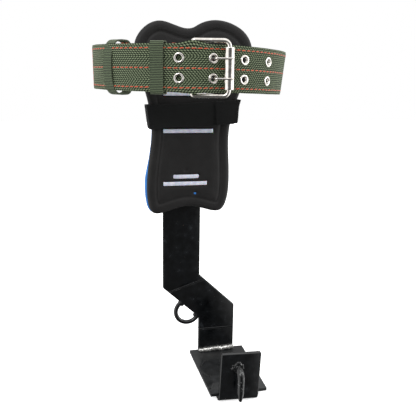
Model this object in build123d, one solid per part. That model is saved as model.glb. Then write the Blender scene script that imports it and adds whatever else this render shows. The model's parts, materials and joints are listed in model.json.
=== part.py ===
from build123d import *
import math
import os

# Tree climbing spur for one leg: a welded flat-bar frame with a claw, a calf pad tied to the frame,
# and a webbing belt with a two-prong roller buckle. Millimetres. The origin is the middle of the
# foot plate's top face, +Z runs up the leg, and -Y points from the leg shank to the claw.

# Flat-bar shank: upper bar, sideways offset and lower bar, welded end to end
bar_width = 50.0
bar_thickness = 6.0
upper_bar_x = -52.0
lower_bar_x = -2.0
shank_top = 415.0
upper_bend_height = 98.0
upper_bend_rise = 16.0
lower_bend_height = 52.0
lower_bend_rise = 15.0
seam_past_bend = 8.0
lower_seam_height = 34.0
weld_gap = 2.4
weld_crown = 0.5

# Chequered foot plate
plate_thickness = 4.0
boot_space = 112.0
plate_width_back = 77.0
plate_width_front = 72.0
tread_pitch = 28.5
tread_length = 16.0
tread_width = 3.6
tread_height = 1.2
tread_first_x = -31.0
tread_first_y = -37.0
foot_weld_leg = 4.5

# Bent claw bracket, welded on a little crooked
bracket_width = 50.0
bracket_top = 54.0
bracket_leg = 40.0
bracket_bend_radius = 8.0
bracket_lean = 2.4
bracket_weld_leg = 3.5

# Claw of round bar
claw_diameter = 9.0
claw_x = -4.5
claw_root_height = 36.0
claw_reach = 15.0
claw_bend_radius = 9.0
claw_tip_height = -2.0
claw_point_length = 12.0
claw_point_radius = 2.2
claw_weld_radius = 8.5
claw_weld_height = 4.0

# Strap ring of bent rod
ring_rod = 6.0
ring_radius = 16.0
ring_stand_off = 4.4
ring_along_edge = 50.0
ring_weld_radius = 4.6

# Calf pad: black foam face on a blue backing
pad_x = -44.0
pad_face_thickness = 10.0
pad_backing_thickness = 8.0
pad_overhang = 1.0
pad_tilt = 2.2
pad_tilt_height = 300.0
pad_bottom = 208.0
pad_bottom_middle = 215.0
pad_lobe_bottom_x = 44.0
pad_hip_height = 250.0
pad_hip_half = 53.5
pad_waist_height = 312.0
pad_waist_half = 49.7
pad_shoulder_height = 368.0
pad_shoulder_half = 63.0
pad_wing_height = 420.0
pad_wing_half = 72.0
pad_lobe_top_x = 45.0
pad_top = 442.0
pad_top_middle = 438.5

# Nylon cable ties that hold the pad to the shank
tie_width = 4.8
tie_thickness = 1.3
tie_clearance = 1.0
tie_hole_diameter = 8.0
tie_head = (7.0, 4.6, 6.4)
tie_heights_low = (245.5, 254.5)
tie_below_band = 20.2
tie_slacks = (2.0, 0.0, 9.0, 0.0)
tie_below_belt = 5.0

# Elastic band round the pad's waist and the shank
band_width = 30.0
band_thickness = 2.2
band_below_tie = 25.5
band_tilt = 3.4
band_clearance = 0.4
band_end_length = 32.0
band_end_thickness = 1.6
band_end_stand_off = 7.0

# Webbing belt: a D-shaped loop whose tail laps over its own start
webbing_width = 50.0
webbing_thickness = 2.6
layer_gap = 0.4
belt_height = 388.0
loop_x = -44.0
loop_y = 43.0
tail_radius = 117.7
right_radius = 111.7
loop_corner_radius = 32.0
lap_start_angle = 12.0
lap_end_angle = -11.0
tail_end_angle = -88.0
return_end_angle = -50.0
fold_blend_angle = -24.0
channel_clearance = 0.7

# Roller buckle of round rod
buckle_rod = 5.0
buckle_side_clearance = 0.75
buckle_corner_radius = 6.0
pivot_corner_radius = 2.6
pivot_across = -21.0
roller_across = 16.4
pivot_wrap_gap = 0.2
roller_diameter = 11.0
roller_end_play = 0.45
roller_strap_gap = 0.8
running_clearance = 0.05

# Prongs and eyelets
prong_wire = 2.2
prong_spacing = 20.5
prong_rise_across = 0.4
prong_overhang = 2.2
prong_rest_gap = 0.25
prong_slot_side = 0.6
eyelet_hole = 6.4
eyelet_outer = 11.0
eyelet_barrel_wall = 0.6
eyelet_flange = 0.8
eyelet_washer = 0.2
eyelet_seat = 0.12
eyelet_angles = (-17.7, 0.0, 18.8, 37.6)

# Webbing keepers
keeper_thickness = 1.8
keeper_clearance = 0.7
keeper_fixed_width = 15.0
keeper_fixed_corner = 1.8
keeper_fixed_angle = -28.8
keeper_sliding_width = 13.0
keeper_sliding_angle = -62.0
keeper_sliding_depth = 26.0
keeper_sliding_extra_height = 2.4
keeper_sliding_corner = 3.0

# Places that follow from the sizes above
shank_front = boot_space / 2
shank_back = shank_front + bar_thickness
plate_front = -boot_space / 2
bracket_front = plate_front - bar_thickness
pad_back = shank_front
pad_split = pad_back - pad_backing_thickness
pad_front = pad_split - pad_face_thickness
top_tie_height = belt_height - webbing_width / 2 - tie_below_belt
band_height = top_tie_height - band_below_tie
tie_heights = (*tie_heights_low, band_height - tie_below_band, top_tie_height)
buckle_height = webbing_width + buckle_rod + 2 * buckle_side_clearance
roller_length = buckle_height - 2 * buckle_corner_radius - 2 * roller_end_play
main_radius = tail_radius - webbing_thickness - layer_gap
return_radius = main_radius - webbing_thickness - layer_gap
wrap_radius = buckle_rod / 2 + pivot_wrap_gap + webbing_thickness / 2
belt_back_depth = pad_back - channel_clearance - webbing_thickness / 2 - loop_y


def save(name, *solids):
    part = Compound(children=list(solids)) if len(solids) > 1 else solids[0]
    export_step(part, f"parts/{name}.step")


def plate_from_front(face, front, back):
    """Extrude a face drawn in X and Z from the Y of its front to the Y of its back."""
    placed = Plane(origin=(0, front, 0), x_dir=(1, 0, 0), z_dir=(0, -1, 0)) * face
    return extrude(placed, amount=-(back - front))


def outline(*points):
    return make_face(Polyline(*points, close=True))


# ---------------------------------------------------------------- shank


def bend_points():
    """Corners of the offset, as (x, z): upper left, upper right, lower right, lower left."""
    half = bar_width / 2
    upper_left = (upper_bar_x - half, upper_bend_height)
    upper_right = (upper_bar_x + half, upper_bend_height + upper_bend_rise)
    lower_right = (lower_bar_x + half, lower_bend_height + lower_bend_rise)
    lower_left = (lower_bar_x - half, lower_bend_height)
    return upper_left, upper_right, lower_right, lower_left


def along(start, end, distance):
    length = math.dist(start, end)
    share = distance / length
    return (start[0] + (end[0] - start[0]) * share, start[1] + (end[1] - start[1]) * share)


def shank_pieces():
    upper_left, upper_right, lower_right, lower_left = bend_points()
    seam_left = along(upper_left, lower_left, seam_past_bend)
    seam_right = along(upper_right, lower_right, seam_past_bend)
    next_left = along(upper_left, lower_left, seam_past_bend + weld_gap)
    next_right = along(upper_right, lower_right, seam_past_bend + weld_gap)
    left, right = lower_bar_x - bar_width / 2, lower_bar_x + bar_width / 2
    low, high = lower_seam_height - weld_gap / 2, lower_seam_height + weld_gap / 2
    top_left, top_right = (upper_left[0], shank_top), (upper_right[0], shank_top)
    upper = outline(top_left, top_right, upper_right, seam_right, seam_left, upper_left)
    offset_bar = outline(next_left, next_right, lower_right, (right, high), (left, high), lower_left)
    lower = outline((left, low), (right, low), (right, 0), (left, 0))
    upper_bead = outline(seam_left, seam_right, next_right, next_left)
    lower_bead = outline((left, low), (right, low), (right, high), (left, high))
    bars = [plate_from_front(face, shank_front, shank_back) for face in (upper, offset_bar, lower)]
    beads = [
        plate_from_front(face, shank_front - weld_crown, shank_back + weld_crown)
        for face in (upper_bead, lower_bead)
    ]
    return bars, beads


# ---------------------------------------------------------------- foot plate


def tread_bars():
    """Raised bars of the chequered plate, each turned across its neighbours."""
    bars = []
    for column in range(3):
        for row in range(3):
            turn = 60 if (column + row) % 2 == 0 else -60
            x = tread_first_x + column * tread_pitch
            y = tread_first_y + row * tread_pitch
            shape = Rot(0, 0, turn) * SlotOverall(tread_length, tread_width)
            bars.append(extrude(Pos(x, y, 0) * shape, amount=tread_height))
    return bars


def foot_plate():
    back, front = plate_width_back / 2, plate_width_front / 2
    face = outline((-back, shank_back), (back, shank_back), (front, plate_front), (-front, plate_front))
    plate = extrude(face, amount=-plate_thickness)
    for bar in tread_bars():
        plate += bar
    return plate


def fillet_weld(x_from, x_to, corner_y, corner_z, leg_y, leg_z):
    """A triangular bead along X, its square corner at (y, z) and its legs running out from it."""
    section = outline((corner_y, corner_z), (corner_y + leg_y, corner_z), (corner_y, corner_z + leg_z))
    placed = Plane(origin=(x_from, 0, 0), x_dir=(0, 1, 0), z_dir=(1, 0, 0)) * section
    return extrude(placed, amount=x_to - x_from)


# ---------------------------------------------------------------- claw bracket and claw


def claw_bracket():
    inner_y, outer_y = plate_front, bracket_front
    under, bottom = -plate_thickness, -plate_thickness - bar_thickness
    section = outline(
        (outer_y, bracket_top),
        (inner_y, bracket_top),
        (inner_y, under),
        (inner_y + bracket_leg, under),
        (inner_y + bracket_leg, bottom),
        (outer_y, bottom),
    )
    corner = section.vertices().sort_by_distance((outer_y, bottom, 0))[0]
    section = fillet(corner, bracket_bend_radius)
    left = lower_bar_x - bracket_width / 2
    placed = Plane(origin=(0, 0, 0), x_dir=(0, 1, 0), z_dir=(1, 0, 0)) * section
    bracket = extrude(placed, amount=bracket_width)
    bracket = Pos(0, 0, -under) * bracket
    return Pos(left, 0, under) * (Rot(0, bracket_lean, 0) * bracket)


def claw():
    reach_y = bracket_front - claw_reach
    shoulder = claw_tip_height + claw_point_length
    path = FilletPolyline(
        (claw_x, bracket_front, claw_root_height),
        (claw_x, reach_y, claw_root_height),
        (claw_x, reach_y, shoulder),
        radius=claw_bend_radius,
    )
    start = Plane(origin=path @ 0, z_dir=path % 0)
    bar = sweep(start * Circle(claw_diameter / 2), path=path)
    upward = (Align.CENTER, Align.CENTER, Align.MIN)
    point = Cone(claw_point_radius, claw_diameter / 2, claw_point_length, align=upward)
    return bar + Pos(claw_x, reach_y, claw_tip_height) * point


def claw_weld():
    root = Plane(origin=(claw_x, bracket_front, claw_root_height), z_dir=(0, -1, 0))
    top_radius = claw_diameter / 2 + 1
    upward = (Align.CENTER, Align.CENTER, Align.MIN)
    bead = Cone(claw_weld_radius, top_radius, claw_weld_height, align=upward)
    bead -= Cylinder(claw_diameter / 2, claw_weld_height, align=upward)
    return root * bead


# ---------------------------------------------------------------- strap ring


def ring_frame():
    """Ring centre (x, z) and the unit directions along the bar's edge and away from the bar."""
    upper_left, _, _, lower_left = bend_points()
    length = math.dist(upper_left, lower_left)
    edge = ((lower_left[0] - upper_left[0]) / length, (lower_left[1] - upper_left[1]) / length)
    away = (edge[1], -edge[0])
    on_edge = along(upper_left, lower_left, ring_along_edge)
    centre = (on_edge[0] + away[0] * ring_stand_off, on_edge[1] + away[1] * ring_stand_off)
    return centre, edge, away


def strap_ring_and_welds(bar):
    centre, edge, away = ring_frame()
    middle = shank_front + bar_thickness / 2
    facing = Plane(origin=(centre[0], middle, centre[1]), z_dir=(0, -1, 0))
    ring = facing * Torus(ring_radius, ring_rod / 2)
    size = 4 * ring_radius
    block = Box(size, size, size, align=(Align.CENTER, Align.CENTER, Align.MAX))
    edge_point = (centre[0] - away[0] * ring_stand_off, middle, centre[1] - away[1] * ring_stand_off)
    bar_side = Plane(origin=edge_point, z_dir=(away[0], 0, away[1])) * block
    ring = ring - bar_side - bar
    reach = math.sqrt(ring_radius**2 - ring_stand_off**2)
    welds = []
    for side in (-1, 1):
        end = (edge_point[0] + side * reach * edge[0], middle, edge_point[2] + side * reach * edge[1])
        bead = Pos(*end) * Sphere(ring_weld_radius) - bar_side - bar - ring
        welds.append(bead.solids().sort_by(SortBy.VOLUME)[-1])
    return ring, welds


# ---------------------------------------------------------------- calf pad


def pad_outline(extra):
    """The pad's outline, grown by the given margin. The pad is tied on leaning to the right."""
    right = [
        (pad_lobe_top_x, pad_top + extra),
        (pad_wing_half + extra, pad_wing_height),
        (pad_shoulder_half + extra, pad_shoulder_height),
        (pad_waist_half + extra, pad_waist_height),
        (pad_hip_half + extra, pad_hip_height),
        (pad_lobe_bottom_x, pad_bottom - extra),
    ]
    left = [(-x, z) for x, z in reversed(right)]
    top, bottom = (0, pad_top_middle + extra), (0, pad_bottom_middle - extra)
    upright = Pos(0, -pad_tilt_height, 0) * make_face(Spline(top, *right, bottom, *left, periodic=True))
    return Pos(pad_x, pad_tilt_height, 0) * (Rot(0, 0, -pad_tilt) * upright)


def tie_hole_places():
    """Holes on both sides of the bar, the right one further off by the tie's slack."""
    offset = bar_width / 2 + tie_clearance + tie_thickness / 2
    left = [(upper_bar_x - offset, height) for height in tie_heights]
    right = [(upper_bar_x + offset + slack, height) for height, slack in zip(tie_heights, tie_slacks)]
    return left + right


def punched(pad):
    depth = 2 * (pad_back - pad_front)
    for x, z in tie_hole_places():
        pad -= Plane(origin=(x, pad_split, z), z_dir=(0, 1, 0)) * Cylinder(tie_hole_diameter / 2, depth)
    return pad


def pad_face():
    return punched(plate_from_front(pad_outline(0), pad_front, pad_split))


def pad_backing():
    pad = plate_from_front(pad_outline(pad_overhang), pad_split, pad_back)
    channel_depth = webbing_thickness + 2 * channel_clearance
    channel_height = webbing_width + 2 * channel_clearance
    seated = (Align.CENTER, Align.MAX, Align.CENTER)
    channel = Box(4 * pad_wing_half, channel_depth, channel_height, align=seated)
    pad -= Pos(pad_x, pad_back, belt_height) * channel
    return punched(pad)


def sides_at(pad, height):
    """How far the pad reaches left and right of its middle line at a height."""
    slice_box = Box(4 * pad_wing_half, 4 * pad_wing_half, 0.2)
    box = (pad & (Pos(pad_x, pad_back, height) * slice_box)).bounding_box()
    return pad_x - box.min.X, box.max.X - pad_x


def cable_tie(height, slack):
    half = bar_width / 2 + tie_clearance + slack / 2
    front, back = pad_front, shank_back
    middle = (front + back) / 2
    hole = RectangleRounded(2 * half, back - front, 1.0)
    wall = 2 * tie_thickness
    loop = RectangleRounded(2 * half + wall, back - front + wall, 1.0 + tie_thickness)
    tie = extrude(Pos(0, middle, 0) * (loop - hole), amount=tie_width / 2, both=True)
    head = Box(*tie_head, align=(Align.CENTER, Align.MIN, Align.CENTER))
    tie += Pos(half / 3, back + tie_thickness / 2, 0) * head
    return Pos(upper_bar_x + slack / 2, 0, height) * tie


# ---------------------------------------------------------------- pad band


def band_section(left, right, grow):
    """Plan outline that wraps the pad and the shank behind it, as (x, y) about the pad's middle."""
    clearance = band_clearance + grow
    left, right = -left - clearance, right + clearance
    front = pad_front - tie_thickness - clearance
    back = shank_back + clearance
    shank_left = upper_bar_x - pad_x - bar_width / 2 - clearance
    shank_right = upper_bar_x - pad_x + bar_width / 2 + clearance
    corner = pad_back + clearance / 2
    return outline(
        (left, front),
        (right, front),
        (right, corner),
        (shank_right, back),
        (shank_left, back),
        (left, corner),
    )


def pad_band(pad):
    half = band_width / 2
    slope = math.sin(math.radians(band_tilt))
    drop, lean = pad_waist_half * slope, half * slope
    low_left = sides_at(pad, band_height - half - drop)[0] + lean
    low_right = sides_at(pad, band_height - half + drop)[1] - lean
    high_left = sides_at(pad, band_height + half - drop)[0] - lean
    high_right = sides_at(pad, band_height + half + drop)[1] + lean
    shells = []
    for grow in (band_thickness, 0):
        low = Pos(0, 0, -half) * band_section(low_left, low_right, grow)
        high = Pos(0, 0, half) * band_section(high_left, high_right, grow)
        shells.append(loft([low, high]))
    band = shells[0] - shells[1]
    return Pos(pad_x, 0, band_height) * (Rot(0, -band_tilt, 0) * band)


def pad_band_end(pad):
    """Free hook-and-loop end of the band, lapped over its front and standing off at the right."""
    half = band_width / 2
    front = pad_front - tie_thickness - band_clearance - band_thickness
    right = sides_at(pad, band_height)[1] + band_end_stand_off
    strip = Box(
        band_end_length, band_end_thickness, 2 * half - 1, align=(Align.MAX, Align.MAX, Align.CENTER)
    )
    placed = Pos(right, front - layer_gap / 2, 0) * strip
    return Pos(pad_x, 0, band_height) * (Rot(0, -band_tilt, 0) * placed)


# ---------------------------------------------------------------- belt


def loop_point(angle, radius):
    """Plan point on the loop: angle 0 is the front, positive to the right."""
    turn = math.radians(angle)
    return (loop_x + radius * math.sin(turn), loop_y - radius * math.cos(turn))


def arc_layer(centre, radius, start, size):
    """A strip of webbing seen in plan, bent to an arc; angles from +X."""
    half = webbing_thickness / 2
    outer = CenterArc((*centre, 0), radius + half, start, size)
    inner = CenterArc((*centre, 0), radius - half, start, size)
    return make_face([outer, Line(outer @ 1, inner @ 1), inner, Line(inner @ 0, outer @ 0)])


def straight_layer(start, end):
    half = webbing_thickness / 2
    length = math.dist(start, end)
    across = (-(end[1] - start[1]) / length * half, (end[0] - start[0]) / length * half)
    return outline(
        (start[0] + across[0], start[1] + across[1]),
        (end[0] + across[0], end[1] + across[1]),
        (end[0] - across[0], end[1] - across[1]),
        (start[0] - across[0], start[1] - across[1]),
    )


def lap_radius(angle):
    """The strap's radius as it rises from under the roller to lie over the fold."""
    share = (lap_start_angle - angle) / (lap_start_angle - lap_end_angle)
    share = min(max(share, 0), 1)
    ease = share * share * (3 - 2 * share)
    return right_radius + (tail_radius - right_radius) * ease


def lap_layer():
    half = webbing_thickness / 2
    steps = 6
    angles = [lap_start_angle + (lap_end_angle - lap_start_angle) * i / steps for i in range(steps + 1)]
    outer = Spline(*[loop_point(angle, lap_radius(angle) + half) for angle in angles])
    inner = Spline(*[loop_point(angle, lap_radius(angle) - half) for angle in angles])
    return make_face([outer, Line(outer @ 1, inner @ 1), inner, Line(inner @ 0, outer @ 0)])


def loop_side(radius, side):
    """One side of the D: where the circle ends, its corner arc, and the corner's centre."""
    forward = loop_corner_radius - belt_back_depth
    across = math.sqrt((radius - loop_corner_radius) ** 2 - forward**2)
    centre = (loop_x + side * across, loop_y - forward)
    leave_angle = side * math.degrees(math.atan2(across, forward))
    size = 180 - abs(leave_angle)
    start = leave_angle - 90 if side > 0 else 90
    return leave_angle, arc_layer(centre, loop_corner_radius, start, size), centre


def pivot_point():
    depth = math.sqrt(main_radius**2 - pivot_across**2) - wrap_radius
    return (loop_x + pivot_across, loop_y - depth)


def roller_point():
    depth = math.sqrt(right_radius**2 - roller_across**2)
    depth += webbing_thickness / 2 + roller_strap_gap + roller_diameter / 2
    return (loop_x + roller_across, loop_y - depth)


def fold_layers():
    """The strap's end folded round the pivot bar and laid back on the inside of the loop."""
    pivot = pivot_point()
    main_start = math.degrees(math.asin(pivot_across / main_radius))
    wrap = arc_layer(pivot, wrap_radius, -90, 180)
    inside = (pivot[0], pivot[1] + wrap_radius)
    back = straight_layer(inside, loop_point(fold_blend_angle, return_radius))
    size = abs(return_end_angle - fold_blend_angle)
    under = arc_layer((loop_x, loop_y), return_radius, return_end_angle - 90, size)
    return main_start, wrap + back + under


def belt_webbing():
    centre = (loop_x, loop_y)
    left_leave, left_corner, left_centre = loop_side(main_radius, -1)
    right_leave, right_corner, right_centre = loop_side(right_radius, 1)
    main_start, fold = fold_layers()
    back_y = loop_y + belt_back_depth
    plan = arc_layer(centre, main_radius, left_leave - 90, main_start - left_leave)
    plan += left_corner
    plan += straight_layer((left_centre[0], back_y), (right_centre[0], back_y))
    plan += right_corner
    plan += arc_layer(centre, right_radius, lap_start_angle - 90, right_leave - lap_start_angle)
    plan += lap_layer()
    plan += arc_layer(centre, tail_radius, tail_end_angle - 90, lap_end_angle - tail_end_angle)
    plan += fold
    belt = extrude(Pos(0, 0, belt_height) * plan, amount=webbing_width / 2, both=True)
    for place in eyelet_places():
        belt -= place * Cylinder(eyelet_hole / 2 + eyelet_barrel_wall, 3 * webbing_thickness)
    return belt - prong_slots()


def prong_slots():
    """Slots cut in the fold, where the prongs turn on the pivot bar."""
    pivot = pivot_point()
    reach = buckle_rod / 2 + prong_wire + 1.5
    slots = []
    for side in (-1, 1):
        slot = Cylinder(reach, prong_wire + 2 * prong_slot_side)
        slots.append(Pos(pivot[0], pivot[1], belt_height + side * prong_spacing / 2) * slot)
    return slots


def eyelet_places():
    """A plane at each eyelet, its z axis pointing out of the loop."""
    places = []
    for angle in eyelet_angles:
        radius = lap_radius(angle)
        x, y = loop_point(angle, radius)
        before = loop_point(angle - 1, lap_radius(angle - 1))
        after = loop_point(angle + 1, lap_radius(angle + 1))
        out = (after[1] - before[1], before[0] - after[0], 0)
        for side in (-1, 1):
            places.append(Plane(origin=(x, y, belt_height + side * prong_spacing / 2), z_dir=out))
    return places


def eyelets():
    half = webbing_thickness / 2
    upward = (Align.CENTER, Align.CENTER, Align.MIN)
    barrel = Cylinder(eyelet_hole / 2 + eyelet_barrel_wall, webbing_thickness + 2 * eyelet_seat)
    flange = Pos(0, 0, half + eyelet_seat) * Cylinder(eyelet_outer / 2, eyelet_flange, align=upward)
    washer = Cylinder(eyelet_outer / 2 - 1, eyelet_washer, align=upward)
    washer = Pos(0, 0, -half - eyelet_seat - eyelet_washer) * washer
    eyelet = barrel + flange + washer - Cylinder(eyelet_hole / 2, 4 * webbing_thickness)
    eyelet = fillet(eyelet.edges().group_by(Axis.Z)[-1], eyelet_flange / 3)
    return [place * eyelet for place in eyelet_places()]


# ---------------------------------------------------------------- buckle


def buckle_frame():
    pivot, roller = pivot_point(), roller_point()
    middle = ((pivot[0] + roller[0]) / 2, (pivot[1] + roller[1]) / 2, belt_height)
    across = (roller[0] - pivot[0], roller[1] - pivot[1], 0)
    plane = Plane(origin=middle, x_dir=across, z_dir=(-across[1], across[0], 0))
    shape = Rectangle(math.dist(pivot, roller), buckle_height)
    corners = shape.vertices().group_by(Axis.X)
    shape = fillet(corners[0], pivot_corner_radius)
    shape = fillet(shape.vertices().group_by(Axis.X)[-1], buckle_corner_radius)
    path = (plane * shape).wire()
    start = Plane(origin=path @ 0, z_dir=path % 0)
    return sweep(start * Circle(buckle_rod / 2), path=path)


def buckle_roller():
    x, y = roller_point()
    tube = Cylinder(roller_diameter / 2, roller_length)
    tube -= Cylinder(buckle_rod / 2 + running_clearance, roller_length)
    rims = tube.edges().filter_by(GeomType.CIRCLE).sort_by(SortBy.RADIUS)[-2:]
    return Pos(x, y, belt_height) * fillet(rims, 0.8)


def buckle_prong(side):
    """A wire prong: an eye round the pivot bar, a step through its eyelet, a tip on the roller."""
    pivot, roller = pivot_point(), roller_point()
    height = belt_height + side * prong_spacing / 2
    eye_radius = buckle_rod / 2 + running_clearance + prong_wire / 2
    rise_x = loop_x + prong_rise_across
    over = roller[1] - roller_diameter / 2 - prong_wire / 2 - prong_rest_gap
    path = FilletPolyline(
        (pivot[0] + eye_radius, pivot[1], height),
        (rise_x - 0.6, pivot[1], height),
        (rise_x + 0.6, over + 2.2, height),
        (roller[0], over, height),
        (roller[0] + prong_overhang, over + 0.4, height),
        radius=1.6,
    )
    start = Plane(origin=path @ 0, z_dir=path % 0)
    wire = sweep(start * Circle(prong_wire / 2), path=path)
    wire += Pos(*(path @ 1)) * Sphere(prong_wire / 2)
    eye = Pos(pivot[0], pivot[1], height) * Torus(eye_radius, prong_wire / 2)
    bore = Pos(pivot[0], pivot[1], height) * Cylinder(buckle_rod / 2 + running_clearance, 2 * prong_wire)
    return eye + wire - bore


# ---------------------------------------------------------------- keepers


def keeper(width, angle, depth, extra_height, corner):
    """A loop of flat webbing round the strap's layers; depth is measured inwards from the tail."""
    outside = tail_radius + webbing_thickness / 2 + keeper_clearance
    height = webbing_width + 2 * (keeper_clearance + extra_height)
    wall = 2 * keeper_thickness
    hole = RectangleRounded(depth, height, corner)
    shape = RectangleRounded(depth + wall, height + wall, corner + keeper_thickness)
    loop = extrude(shape - hole, amount=width / 2, both=True)
    x, y = loop_point(angle, outside - depth / 2)
    inward = (loop_x - x, loop_y - y, 0)
    facing = Plane(origin=(x, y, belt_height), x_dir=inward, z_dir=(-inward[1], inward[0], 0))
    return facing * loop


def main():
    os.makedirs("parts", exist_ok=True)
    bars, beads = shank_pieces()
    for name, bar in zip(("shank_upper", "shank_offset", "shank_lower"), bars):
        save(name, bar)
    save("shank_butt_welds", *beads)
    save("foot_plate", foot_plate())
    half = bar_width / 2
    foot_leg = foot_weld_leg
    foot_weld = fillet_weld(lower_bar_x - half, lower_bar_x + half, shank_front, 0, -foot_leg, foot_leg)
    save("shank_foot_weld", foot_weld)
    save("claw_bracket", claw_bracket())
    left = lower_bar_x - bracket_width / 2 + bracket_weld_leg
    right = lower_bar_x + bracket_width / 2 - bracket_weld_leg
    leg = bracket_weld_leg
    upper_weld = fillet_weld(left, right, plate_front, 0, leg, leg)
    under_weld = fillet_weld(left, right, plate_front + bracket_leg, -plate_thickness, leg, -leg)
    save("bracket_welds", upper_weld, under_weld)
    save("claw", claw())
    save("claw_weld", claw_weld())
    ring, ring_welds = strap_ring_and_welds(bars[1])
    save("strap_ring", ring)
    save("ring_welds", *ring_welds)

    backing = pad_backing()
    save("pad_face", pad_face())
    save("pad_backing", backing)
    save("pad_band", pad_band(backing))
    save("pad_band_end", pad_band_end(backing))
    for number, (height, slack) in enumerate(zip(tie_heights, tie_slacks), start=1):
        save(f"cable_tie_{number}", cable_tie(height, slack))

    save("belt_webbing", belt_webbing())
    save("belt_eyelets", *eyelets())
    save("buckle_frame", buckle_frame())
    save("buckle_roller", buckle_roller())
    save("buckle_prong_upper", buckle_prong(1))
    save("buckle_prong_lower", buckle_prong(-1))
    snug = tail_radius - return_radius + webbing_thickness + 2 * keeper_clearance
    save("keeper_fixed", keeper(keeper_fixed_width, keeper_fixed_angle, snug, 0, keeper_fixed_corner))
    loose = (keeper_sliding_depth, keeper_sliding_extra_height, keeper_sliding_corner)
    save("keeper_sliding", keeper(keeper_sliding_width, keeper_sliding_angle, *loose))


main()
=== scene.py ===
import bpy
import json
import math
import random
import numpy as np
from mathutils import Matrix, Vector, noise
from mathutils.bvhtree import BVHTree


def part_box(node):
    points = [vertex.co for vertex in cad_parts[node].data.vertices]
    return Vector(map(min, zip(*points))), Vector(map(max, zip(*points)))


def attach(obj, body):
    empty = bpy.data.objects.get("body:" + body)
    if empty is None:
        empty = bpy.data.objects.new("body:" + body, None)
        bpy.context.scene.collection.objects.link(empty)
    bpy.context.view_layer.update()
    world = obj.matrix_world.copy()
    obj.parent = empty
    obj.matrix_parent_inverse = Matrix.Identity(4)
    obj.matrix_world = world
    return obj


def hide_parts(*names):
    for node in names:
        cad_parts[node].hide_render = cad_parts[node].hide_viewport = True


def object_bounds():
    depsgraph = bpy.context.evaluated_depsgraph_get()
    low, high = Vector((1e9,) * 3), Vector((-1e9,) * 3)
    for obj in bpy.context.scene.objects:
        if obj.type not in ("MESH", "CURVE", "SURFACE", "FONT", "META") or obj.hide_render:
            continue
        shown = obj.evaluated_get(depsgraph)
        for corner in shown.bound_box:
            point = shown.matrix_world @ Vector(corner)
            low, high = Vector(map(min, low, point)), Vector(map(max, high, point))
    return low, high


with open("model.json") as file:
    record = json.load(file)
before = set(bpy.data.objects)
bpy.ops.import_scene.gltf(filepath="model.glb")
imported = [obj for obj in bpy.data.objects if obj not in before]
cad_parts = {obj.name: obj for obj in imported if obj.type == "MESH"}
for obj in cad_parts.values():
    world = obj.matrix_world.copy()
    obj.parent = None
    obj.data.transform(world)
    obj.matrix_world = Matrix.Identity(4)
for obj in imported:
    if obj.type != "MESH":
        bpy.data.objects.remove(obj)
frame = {"nodes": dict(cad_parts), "record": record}
cad_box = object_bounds()


# ---------------------------------------------------------------- flat-bar shank
# Three lengths of 50 x 6 mm hot-rolled flat bar, cut on the slant and butt welded end to end, then
# dipped in black gloss enamel. The enamel rounds the sawn edges, which catch the light as thin lines.

nodes = frame["nodes"]
MM = 0.001


def linear(hex_colour):
    """An sRGB hex colour as a linear RGBA tuple."""
    parts = [int(hex_colour[i:i + 2], 16) / 255 for i in (1, 3, 5)]
    return tuple(c / 12.92 if c <= 0.04045 else ((c + 0.055) / 1.055) ** 2.4 for c in parts) + (1.0,)


def add_node(tree, kind, inputs=None, stops=(), **settings):
    """Adds a shader node with its settings, its input values or links, and a ramp's colour stops."""
    new = tree.nodes.new(kind)
    for key, value in settings.items():
        setattr(new, key, value)
    for key, value in (inputs or {}).items():
        if isinstance(value, bpy.types.NodeSocket):
            tree.links.new(value, new.inputs[key])
        else:
            new.inputs[key].default_value = value
    if stops:
        elements = new.color_ramp.elements
        elements[0].position, elements[1].position = stops[0][0], stops[-1][0]
        for position, _ in stops[1:-1]:
            elements.new(position)
        for element, (_, hex_colour) in zip(elements, stops):
            element.color = linear(hex_colour)
    return new


def new_material(name, **inputs):
    """A material with one Principled shader; returns the material, its tree and its shader."""
    material = bpy.data.materials.new(name)
    material.use_nodes = True
    shader = material.node_tree.nodes["Principled BSDF"]
    for key, value in inputs.items():
        shader.inputs[key.replace("_", " ")].default_value = value
    return material, material.node_tree, shader


def pick(*pieces):
    """Selects these objects alone and makes the first one active."""
    bpy.ops.object.select_all(action="DESELECT")
    for piece in pieces:
        piece.select_set(True)
    bpy.context.view_layer.objects.active = pieces[0]


def finish_modifier(piece, kind, **settings):
    """Adds one modifier to a piece and applies it."""
    modifier = piece.modifiers.new(kind.title(), kind)
    for key, value in settings.items():
        setattr(modifier, key, value)
    pick(piece)
    bpy.ops.object.modifier_apply(modifier=modifier.name)


def seat(piece, name, body, material, replaced=()):
    """Names a finished piece, gives it its one material and ties it to the frame."""
    pick(piece)
    bpy.ops.object.transform_apply(location=True, rotation=True, scale=True)
    piece.name = name
    piece.data.name = name
    piece.data.materials.clear()
    piece.data.materials.append(material)
    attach(piece, body)
    if replaced:
        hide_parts(*replaced)
    return piece


def copy_of_node(name):
    """A new mesh made from a CAD node's, its loose triangles merged and its flat faces made whole."""
    piece = bpy.data.objects.new(name + "_copy", nodes[name].data.copy())
    bpy.context.collection.objects.link(piece)
    pick(piece)
    bpy.ops.object.mode_set(mode="EDIT")
    bpy.ops.mesh.select_all(action="SELECT")
    bpy.ops.mesh.customdata_custom_splitnormals_clear()
    bpy.ops.mesh.remove_doubles(threshold=0.00001)
    bpy.ops.mesh.dissolve_limited(angle_limit=math.radians(1))
    bpy.ops.object.mode_set(mode="OBJECT")
    return piece


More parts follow.
